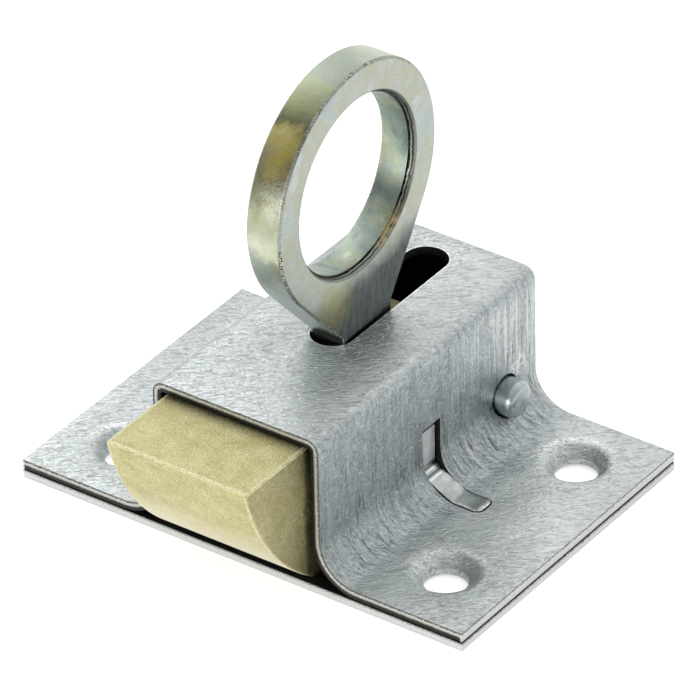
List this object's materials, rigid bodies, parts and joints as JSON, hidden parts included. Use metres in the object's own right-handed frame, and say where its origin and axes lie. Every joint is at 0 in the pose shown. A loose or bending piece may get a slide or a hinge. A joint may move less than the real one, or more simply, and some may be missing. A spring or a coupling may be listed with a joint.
{
  "type": "window latch",
  "caption": "Surface-mounted spring window latch: pressed channel case on a base plate, cam-nosed sliding bolt and an upright pull ring.",
  "frame": {"origin": "centre of the base plate's flat underside, which lies on the window frame or sash", "axes": "+Z away from the mounting face, along the pull ring; -Y the way the bolt nose points; +X across the bolt"},
  "size_m": [0.06, 0.0529, 0.0541],
  "materials": {
    "galvanised_case": "hot-dip galvanised sheet, satin with fine flecks",
    "galvanised_plate": "hot-dip galvanised sheet, satin",
    "brass_toned_casting": "matt tumbled brass-toned casting",
    "passivated_ring": "zinc-plated, pale yellow passivated, satin",
    "bright_pin": "zinc-plated, satin",
    "spring_steel": "zinc-plated spring wire"
  },
  "bodies": {
    "case": {"latch_case": "galvanised_case", "base_plate": "galvanised_plate", "cross_pin": "bright_pin", "bolt_spring": "spring_steel"},
    "bolt": {"latch_bolt": "brass_toned_casting", "pull_ring": "passivated_ring"}
  },
  "joints": [
    {"name": "bolt_slide", "type": "slide", "parent": "case", "child": "bolt", "axis": [0, 1, 0], "range_m": [0, 0.011], "stiffness_N_per_m": 400, "springref_m": -0.01, "deforming": ["bolt_spring"]}
  ]
}
